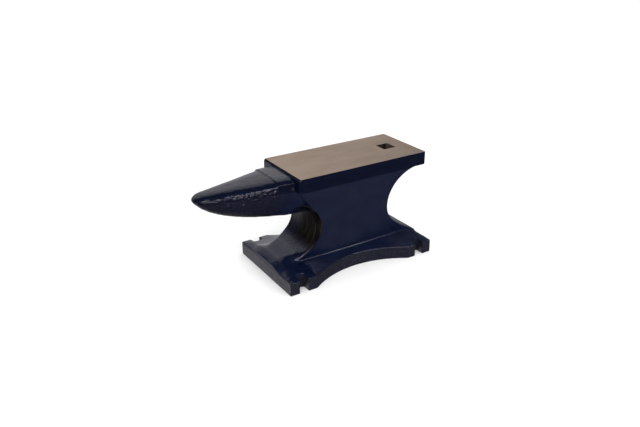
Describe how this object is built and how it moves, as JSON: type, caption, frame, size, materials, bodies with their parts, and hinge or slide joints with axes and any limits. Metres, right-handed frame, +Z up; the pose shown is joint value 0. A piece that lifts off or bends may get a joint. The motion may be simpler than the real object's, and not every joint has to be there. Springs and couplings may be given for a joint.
{
  "type": "anvil",
  "caption": "Smith's anvil: long horn with a table, ground steel face, square hardy hole through the heel, hollowed waist, and a flanged base with open bolt slots.",
  "frame": {"origin": "on the ground at the middle of the base", "axes": "+Z up, +X along the anvil toward the heel, horn toward -X, +Y across it"},
  "size_m": [0.4128, 0.1762, 0.1842],
  "materials": {
    "ground_steel": "ground, lightly mottled",
    "navy_enamel": "glossy enamel over a sand-cast surface"
  },
  "bodies": {
    "root": {"face_plate": "ground_steel", "heel_block": "navy_enamel", "core": "navy_enamel", "horn": "navy_enamel", "base_corner_horn_front": "navy_enamel", "base_corner_horn_back": "navy_enamel", "base_corner_heel_front": "navy_enamel", "base_corner_heel_back": "navy_enamel"}
  },
  "joints": []
}
